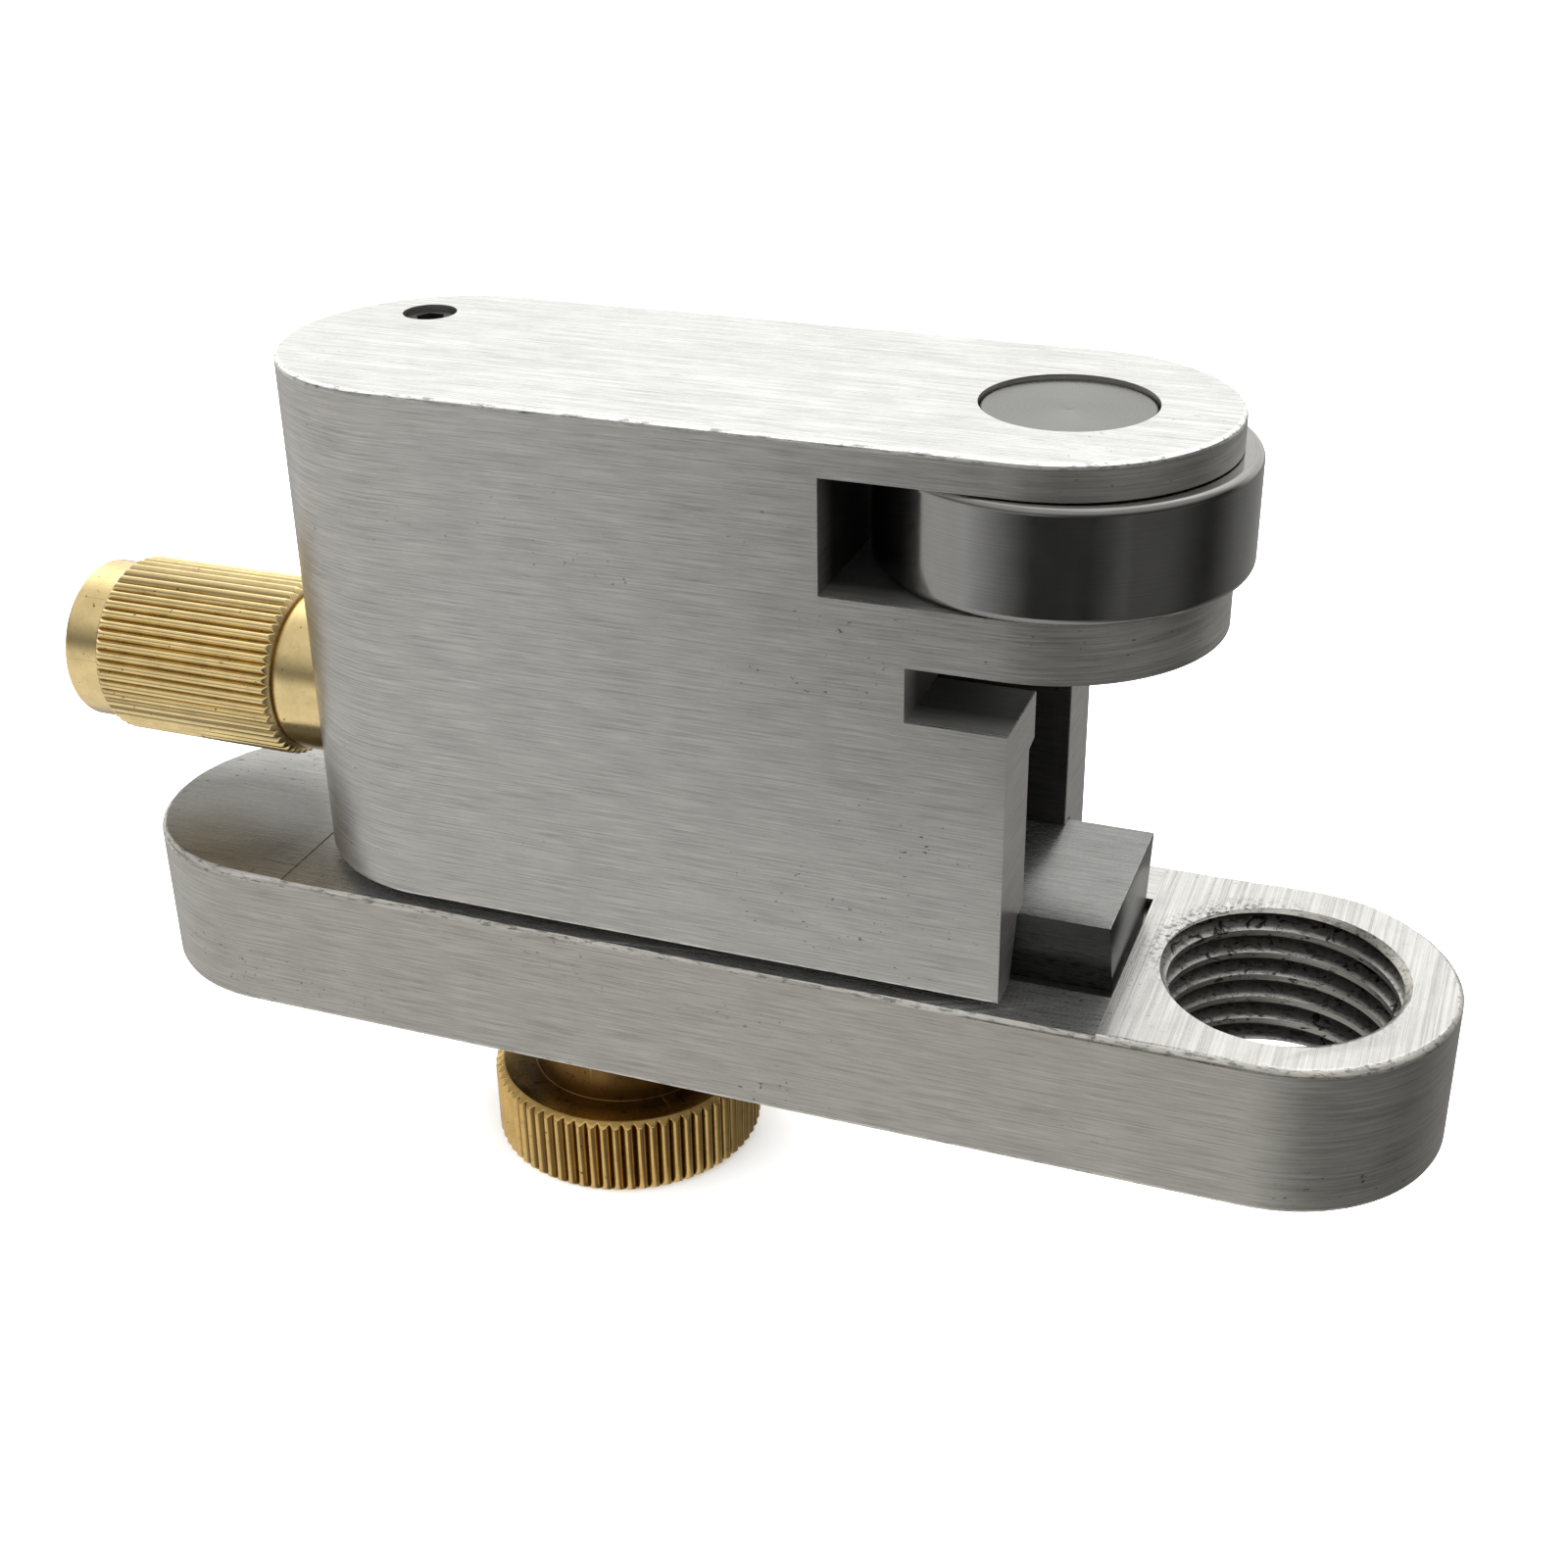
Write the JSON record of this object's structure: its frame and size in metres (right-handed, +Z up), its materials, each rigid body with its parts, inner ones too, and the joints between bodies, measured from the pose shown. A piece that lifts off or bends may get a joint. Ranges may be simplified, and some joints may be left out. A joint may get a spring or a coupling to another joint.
{
  "type": "adjustable roller guide",
  "caption": "Base plate with a tool-nose thread, carrying a milled block on a guide bar; the block holds a ball-bearing roller, a brass fine-adjusting knob and a brass clamp screw below.",
  "frame": {"origin": "axis of the tool thread at the underside of the base plate", "axes": "X along the plate, the roller block lies towards -X; +Z up from the plate towards the roller; -Z is the way the tool leaves the thread"},
  "size_m": [0.1107, 0.026, 0.0662],
  "materials": {
    "machined_plate": "milled and lengthwise brushed",
    "machined_block": "milled, lengthwise brushed faces",
    "machined_bar": "milled",
    "nut_brass": "turned",
    "polished_steel": "ground and polished",
    "bearing_steel": "ground",
    "pressed_steel": "pressed",
    "shield_steel": "pressed",
    "turned_pin": "lathe-faced",
    "knob_brass": "knurled, bright",
    "screw_steel": "rolled thread",
    "black_oxide": "black oxide",
    "thumb_brass": "knurled, toned"
  },
  "bodies": {
    "base": {"base_plate": "machined_plate"},
    "carriage": {"guide_bar": "machined_bar", "lead_nut": "nut_brass"},
    "head_block": {"block": "machined_block", "roller_inner_ring": "bearing_steel", "roller_shim_upper": "bearing_steel", "roller_shim_lower": "bearing_steel", "roller_pin": "turned_pin", "retaining_pin": "screw_steel", "grub_screw": "black_oxide"},
    "roller": {"roller_outer_ring": "polished_steel", "roller_shield_upper": "shield_steel", "roller_shield_lower": "shield_steel"},
    "ball_train": {"roller_balls": "bearing_steel", "roller_cage_upper": "pressed_steel", "roller_cage_lower": "pressed_steel", "roller_cage_rivets": "pressed_steel"},
    "fine_adjuster": {"adjusting_knob": "knob_brass", "lead_screw": "screw_steel"},
    "clamp_screw": {"thumb_screw_head": "thumb_brass", "thumb_screw_stud": "screw_steel"}
  },
  "joints": [
    {"name": "coarse_slide", "type": "slide", "parent": "base", "child": "carriage", "axis": [1, 0, 0], "range_m": [-0.012, 0]},
    {"name": "fine_slide", "type": "slide", "parent": "carriage", "child": "head_block", "axis": [1, 0, 0], "range_m": [-0.005, 0.004]},
    {"name": "knob_turn", "type": "hinge", "parent": "head_block", "child": "fine_adjuster", "pos_m": [-0.0787, 0, 0.0246], "axis": [1, 0, 0], "range_deg": [-1800, 1440]},
    {"name": "roller_spin", "type": "hinge", "parent": "head_block", "child": "roller", "pos_m": [-0.0179, 0, 0.0463], "axis": [0, 0, 1], "continuous": true},
    {"name": "ball_train_spin", "type": "hinge", "parent": "head_block", "child": "ball_train", "pos_m": [-0.0179, 0, 0.0463], "axis": [0, 0, 1], "continuous": true},
    {"name": "clamp_turn", "type": "hinge", "parent": "carriage", "child": "clamp_screw", "pos_m": [-0.0529, 0, 0], "axis": [0, 0, 1], "range_deg": [-720, 0]}
  ],
  "couplings": [
    {"joint": "knob_turn", "follows": "fine_slide", "rad_per_m": 6283.2},
    {"joint": "ball_train_spin", "follows": "roller_spin", "ratio": 0.63222}
  ]
}
